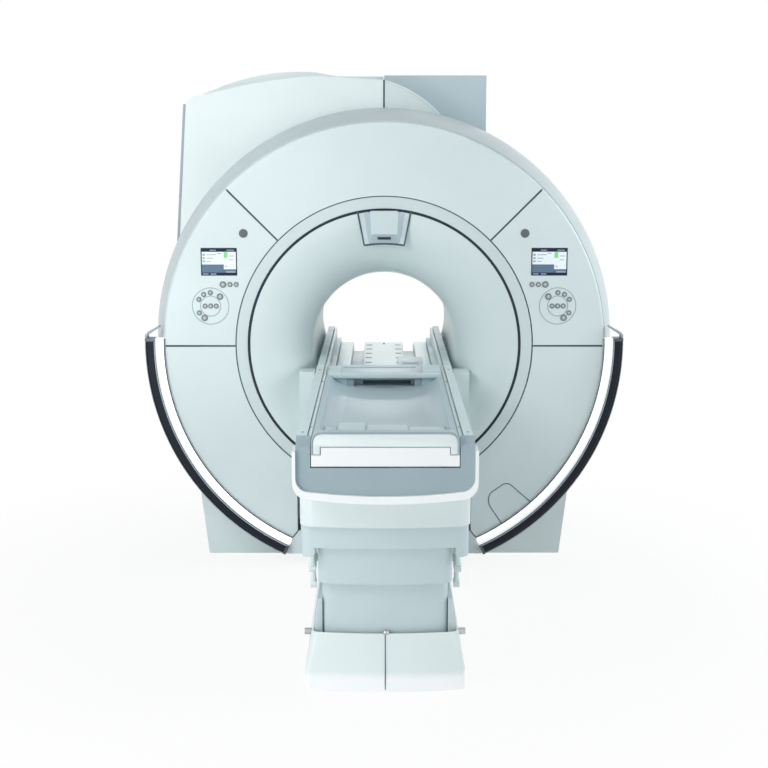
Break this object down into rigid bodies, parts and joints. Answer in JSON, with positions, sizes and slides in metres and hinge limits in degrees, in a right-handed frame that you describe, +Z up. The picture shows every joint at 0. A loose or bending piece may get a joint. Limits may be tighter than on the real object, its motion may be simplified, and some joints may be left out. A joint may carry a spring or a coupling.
{
  "type": "mri scanner",
  "caption": "Wide-bore magnetic resonance scanner with a flared round front, glowing side bands, control panels and a docked patient table whose cradle slides into the bore.",
  "frame": {"origin": "on the floor, straight below the middle of the magnet bore and midway between the four floor anchors", "axes": "+Z up, +Y from the patient table into the bore and out at the rear, +X to the right seen from the front"},
  "size_m": [2.282, 3.261, 2.4084],
  "materials": {
    "casing": "satin lacquer",
    "casing_shade": "satin lacquer, a shade darker",
    "bezel": "satin lacquer",
    "vessel_steel": "brushed, welded",
    "winding": "resin-coated copper and superconducting wire",
    "resin": "cast glass-fibre resin",
    "liner": "satin",
    "foot_iron": "powder coat",
    "display": "gloss",
    "key": "fine grain",
    "diffuser": "opal",
    "bumper": "moulded, fine grain",
    "dock": "satin",
    "bridge": "satin",
    "table_white": "satin lacquer",
    "table_grey": "fine grain",
    "rail": "anodised",
    "cradle": "smooth composite",
    "stage": "powder coat",
    "lift_metal": "ground",
    "base": "powder coat",
    "foot_cover": "satin lacquer",
    "pedal": "powder coat"
  },
  "bodies": {
    "root": {"bezel_ring": "bezel", "bore_bridge": "bridge", "bore_liner": "liner", "bumper_rails": "bumper", "crest_cover": "casing", "cryostat_vessel": "vessel_steel", "display_screens": "display", "dock_housing": "dock", "foot_covers": "foot_cover", "front_funnel": "casing", "gradient_coil": "resin", "laser_housing": "bezel", "left_control_panel": "casing", "left_top_cover": "casing", "lift_column": "lift_metal", "light_bands": "diffuser", "lower_column_cover": "stage", "lower_left_panel": "casing", "lower_right_panel": "casing", "magnet_feet": "foot_iron", "magnet_winding": "winding", "rear_cover": "casing_shade", "rear_top_cover": "casing_shade", "right_control_panel": "casing", "shoulder_cover": "casing", "side_covers": "casing", "table_base": "base", "top_face_panel": "casing"},
    "table": {"table_frame": "table_white", "end_panel": "table_grey", "side_rails": "rail", "lift_ram": "lift_metal"},
    "cradle": {"cradle": "cradle"},
    "cover_middle": {"middle_column_cover": "stage"},
    "cover_upper": {"upper_column_cover": "stage"},
    "pedal": {"foot_pedal": "pedal"},
    "left_key_01_cap": {"left_key_01": "key"},
    "left_key_02_cap": {"left_key_02": "key"},
    "left_key_03_cap": {"left_key_03": "key"},
    "left_key_04_cap": {"left_key_04": "key"},
    "left_key_05_cap": {"left_key_05": "key"},
    "left_key_06_cap": {"left_key_06": "key"},
    "left_key_07_cap": {"left_key_07": "key"},
    "left_key_08_cap": {"left_key_08": "key"},
    "left_key_09_cap": {"left_key_09": "key"},
    "left_key_10_cap": {"left_key_10": "key"},
    "left_key_11_cap": {"left_key_11": "key"},
    "left_key_12_cap": {"left_key_12": "key"},
    "right_key_01_cap": {"right_key_01": "key"},
    "right_key_02_cap": {"right_key_02": "key"},
    "right_key_03_cap": {"right_key_03": "key"},
    "right_key_04_cap": {"right_key_04": "key"},
    "right_key_05_cap": {"right_key_05": "key"},
    "right_key_06_cap": {"right_key_06": "key"},
    "right_key_07_cap": {"right_key_07": "key"},
    "right_key_08_cap": {"right_key_08": "key"},
    "right_key_09_cap": {"right_key_09": "key"},
    "right_key_10_cap": {"right_key_10": "key"},
    "right_key_11_cap": {"right_key_11": "key"},
    "right_key_12_cap": {"right_key_12": "key"}
  },
  "joints": [
    {"name": "table_lift", "type": "slide", "parent": "root", "child": "table", "axis": [0, 0, 1], "range_m": [-0.21, 0]},
    {"name": "cradle_slide", "type": "slide", "parent": "table", "child": "cradle", "axis": [0, 1, 0], "range_m": [0, 1.45]},
    {"name": "cover_middle_slide", "type": "slide", "parent": "root", "child": "cover_middle", "axis": [0, 0, 1], "range_m": [-0.0701, 0]},
    {"name": "cover_upper_slide", "type": "slide", "parent": "root", "child": "cover_upper", "axis": [0, 0, 1], "range_m": [-0.1401, 0]},
    {"name": "pedal_hinge", "type": "hinge", "parent": "root", "child": "pedal", "pos_m": [0, -1.42, 0.112], "axis": [1, 0, 0], "range_deg": [0, 4], "stiffness_Nm_per_rad": 160, "springref_deg": -20.05},
    {"name": "left_key_01_press", "type": "slide", "parent": "root", "child": "left_key_01_cap", "axis": [0, 1, 0], "range_m": [0, 0.0012], "stiffness_N_per_m": 900, "springref_m": -0.0012},
    {"name": "left_key_02_press", "type": "slide", "parent": "root", "child": "left_key_02_cap", "axis": [0, 1, 0], "range_m": [0, 0.0012], "stiffness_N_per_m": 900, "springref_m": -0.0012},
    {"name": "left_key_03_press", "type": "slide", "parent": "root", "child": "left_key_03_cap", "axis": [0, 1, 0], "range_m": [0, 0.0012], "stiffness_N_per_m": 900, "springref_m": -0.0012},
    {"name": "left_key_04_press", "type": "slide", "parent": "root", "child": "left_key_04_cap", "axis": [0, 1, 0], "range_m": [0, 0.0012], "stiffness_N_per_m": 900, "springref_m": -0.0012},
    {"name": "left_key_05_press", "type": "slide", "parent": "root", "child": "left_key_05_cap", "axis": [0, 1, 0], "range_m": [0, 0.0012], "stiffness_N_per_m": 900, "springref_m": -0.0012},
    {"name": "left_key_06_press", "type": "slide", "parent": "root", "child": "left_key_06_cap", "axis": [0, 1, 0], "range_m": [0, 0.0012], "stiffness_N_per_m": 900, "springref_m": -0.0012},
    {"name": "left_key_07_press", "type": "slide", "parent": "root", "child": "left_key_07_cap", "axis": [0, 1, 0], "range_m": [0, 0.0012], "stiffness_N_per_m": 900, "springref_m": -0.0012},
    {"name": "left_key_08_press", "type": "slide", "parent": "root", "child": "left_key_08_cap", "axis": [0, 1, 0], "range_m": [0, 0.0012], "stiffness_N_per_m": 900, "springref_m": -0.0012},
    {"name": "left_key_09_press", "type": "slide", "parent": "root", "child": "left_key_09_cap", "axis": [0, 1, 0], "range_m": [0, 0.0012], "stiffness_N_per_m": 900, "springref_m": -0.0012},
    {"name": "left_key_10_press", "type": "slide", "parent": "root", "child": "left_key_10_cap", "axis": [0, 1, 0], "range_m": [0, 0.0012], "stiffness_N_per_m": 900, "springref_m": -0.0012},
    {"name": "left_key_11_press", "type": "slide", "parent": "root", "child": "left_key_11_cap", "axis": [0, 1, 0], "range_m": [0, 0.0012], "stiffness_N_per_m": 900, "springref_m": -0.0012},
    {"name": "left_key_12_press", "type": "slide", "parent": "root", "child": "left_key_12_cap", "axis": [0, 1, 0], "range_m": [0, 0.0012], "stiffness_N_per_m": 900, "springref_m": -0.0012},
    {"name": "right_key_01_press", "type": "slide", "parent": "root", "child": "right_key_01_cap", "axis": [0, 1, 0], "range_m": [0, 0.0012], "stiffness_N_per_m": 900, "springref_m": -0.0012},
    {"name": "right_key_02_press", "type": "slide", "parent": "root", "child": "right_key_02_cap", "axis": [0, 1, 0], "range_m": [0, 0.0012], "stiffness_N_per_m": 900, "springref_m": -0.0012},
    {"name": "right_key_03_press", "type": "slide", "parent": "root", "child": "right_key_03_cap", "axis": [0, 1, 0], "range_m": [0, 0.0012], "stiffness_N_per_m": 900, "springref_m": -0.0012},
    {"name": "right_key_04_press", "type": "slide", "parent": "root", "child": "right_key_04_cap", "axis": [0, 1, 0], "range_m": [0, 0.0012], "stiffness_N_per_m": 900, "springref_m": -0.0012},
    {"name": "right_key_05_press", "type": "slide", "parent": "root", "child": "right_key_05_cap", "axis": [0, 1, 0], "range_m": [0, 0.0012], "stiffness_N_per_m": 900, "springref_m": -0.0012},
    {"name": "right_key_06_press", "type": "slide", "parent": "root", "child": "right_key_06_cap", "axis": [0, 1, 0], "range_m": [0, 0.0012], "stiffness_N_per_m": 900, "springref_m": -0.0012},
    {"name": "right_key_07_press", "type": "slide", "parent": "root", "child": "right_key_07_cap", "axis": [0, 1, 0], "range_m": [0, 0.0012], "stiffness_N_per_m": 900, "springref_m": -0.0012},
    {"name": "right_key_08_press", "type": "slide", "parent": "root", "child": "right_key_08_cap", "axis": [0, 1, 0], "range_m": [0, 0.0012], "stiffness_N_per_m": 900, "springref_m": -0.0012},
    {"name": "right_key_09_press", "type": "slide", "parent": "root", "child": "right_key_09_cap", "axis": [0, 1, 0], "range_m": [0, 0.0012], "stiffness_N_per_m": 900, "springref_m": -0.0012},
    {"name": "right_key_10_press", "type": "slide", "parent": "root", "child": "right_key_10_cap", "axis": [0, 1, 0], "range_m": [0, 0.0012], "stiffness_N_per_m": 900, "springref_m": -0.0012},
    {"name": "right_key_11_press", "type": "slide", "parent": "root", "child": "right_key_11_cap", "axis": [0, 1, 0], "range_m": [0, 0.0012], "stiffness_N_per_m": 900, "springref_m": -0.0012},
    {"name": "right_key_12_press", "type": "slide", "parent": "root", "child": "right_key_12_cap", "axis": [0, 1, 0], "range_m": [0, 0.0012], "stiffness_N_per_m": 900, "springref_m": -0.0012}
  ],
  "couplings": [
    {"joint": "cover_middle_slide", "follows": "table_lift", "ratio": 0.33333},
    {"joint": "cover_upper_slide", "follows": "table_lift", "ratio": 0.66667}
  ]
}
